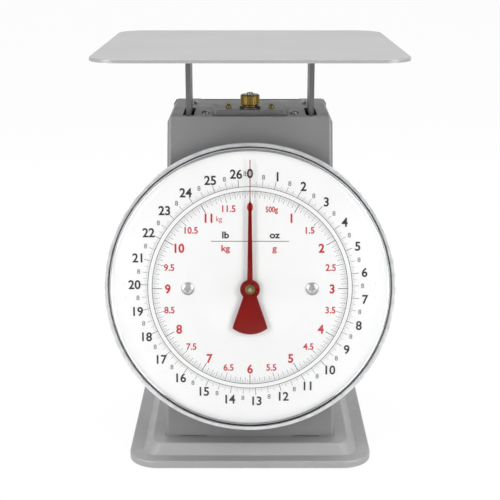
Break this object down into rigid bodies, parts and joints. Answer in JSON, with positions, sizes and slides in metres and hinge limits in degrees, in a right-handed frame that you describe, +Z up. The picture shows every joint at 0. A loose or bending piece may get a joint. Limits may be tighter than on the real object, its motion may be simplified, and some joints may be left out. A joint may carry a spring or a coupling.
{
  "type": "dial scale",
  "caption": "Mechanical spring dial scale with a square platform on two legs, a sheet-steel casing, a large round dial, a turning pointer and a thumb nut for zero.",
  "frame": {"origin": "centre of the footprint on the table, under the middle of the platform", "axes": "+Z up; the dial faces -Y; +X is to the right of someone reading the dial"},
  "size_m": [0.2328, 0.232, 0.33],
  "materials": {
    "grey_paint": "satin silver-grey enamel",
    "tray_paint": "satin light grey enamel",
    "black_rubber": "matte",
    "bright_steel": "nickel plated",
    "zinc_steel": "zinc plated",
    "leg_steel": "satin grey",
    "bridge_steel": "satin grey",
    "dark_steel": "blackened",
    "spring_steel": "oiled",
    "brass": "machined",
    "dial_white": "gloss white with black and red print",
    "clear_plastic": "clear moulded cover",
    "chrome": "bright plated",
    "red_paint": "satin deep red"
  },
  "bodies": {
    "frame": {"base_pan": "grey_paint", "rubber_feet": "black_rubber", "base_screws": "bright_steel", "casing": "grey_paint", "top_screws": "bright_steel", "rear_cover": "grey_paint", "rear_cover_screws": "bright_steel", "chassis": "zinc_steel", "travel_stop": "zinc_steel", "hanger_bridge": "bridge_steel", "knob_washer": "dark_steel", "left_spring": "spring_steel", "right_spring": "spring_steel", "movement_front_plate": "brass", "movement_rear_plate": "brass", "movement_posts": "brass", "movement_screws": "bright_steel", "shaft_bushes": "brass", "dial_pan": "grey_paint", "pan_screws": "bright_steel", "dial_posts": "zinc_steel", "dial_plate": "dial_white", "dial_screws": "bright_steel", "cover_gasket": "black_rubber", "dial_cover": "clear_plastic", "bezel_ring": "chrome", "arm_shafts": "zinc_steel", "arm_clips": "spring_steel"},
    "zero_nut": {"zero_knob": "brass"},
    "spring_hanger": {"hanger_stud": "zinc_steel", "hanger_beam": "zinc_steel", "hanger_guide_pins": "brass"},
    "carrier": {"platform_tray": "tray_paint", "tray_bracket": "tray_paint", "tray_screws": "bright_steel", "left_leg": "leg_steel", "right_leg": "leg_steel", "carrier_pins": "zinc_steel", "leg_crossbar": "zinc_steel", "crossbar_rivets": "zinc_steel", "spring_beam": "zinc_steel", "beam_bolts": "bright_steel", "rack": "brass", "rack_bracket": "zinc_steel", "rack_rivets": "zinc_steel"},
    "pointer_shaft": {"arbor": "bright_steel", "pinion": "brass", "pointer": "red_paint", "pointer_hub": "brass"},
    "upper_arm_body": {"upper_arm": "zinc_steel"},
    "lower_arm_body": {"lower_arm": "zinc_steel"}
  },
  "joints": [
    {"name": "platform_travel", "type": "slide", "parent": "frame", "child": "carrier", "axis": [0, 0, -1], "range_m": [0, 0.0259], "stiffness_N_per_m": 4638, "springref_m": -0.00244, "deforming": ["left_spring", "right_spring"]},
    {"name": "pointer_turn", "type": "hinge", "parent": "frame", "child": "pointer_shaft", "pos_m": [0, -0.04523, 0.14032], "axis": [0, 0.9903, -0.1392], "range_deg": [0, 368]},
    {"name": "zero_knob_turn", "type": "hinge", "parent": "frame", "child": "zero_nut", "pos_m": [0, -0.005, 0.282], "axis": [0, 0, 1], "range_deg": [-720, 720]},
    {"name": "hanger_lift", "type": "slide", "parent": "frame", "child": "spring_hanger", "axis": [0, 0, 1], "range_m": [-0.0017, 0.0017]},
    {"name": "upper_arm_swing", "type": "hinge", "parent": "frame", "child": "upper_arm_body", "pos_m": [0, 0.058, 0.225], "axis": [1, 0, 0], "range_deg": [0, 23]},
    {"name": "lower_arm_swing", "type": "hinge", "parent": "frame", "child": "lower_arm_body", "pos_m": [0, 0.058, 0.105], "axis": [1, 0, 0], "range_deg": [0, 23]}
  ],
  "couplings": [
    {"joint": "pointer_turn", "follows": "platform_travel", "rad_per_m": 247.57},
    {"joint": "upper_arm_swing", "follows": "platform_travel", "rad_per_m": 14.961},
    {"joint": "lower_arm_swing", "follows": "platform_travel", "rad_per_m": 14.961},
    {"joint": "hanger_lift", "follows": "zero_knob_turn", "m_per_rad": -0.00012732}
  ]
}
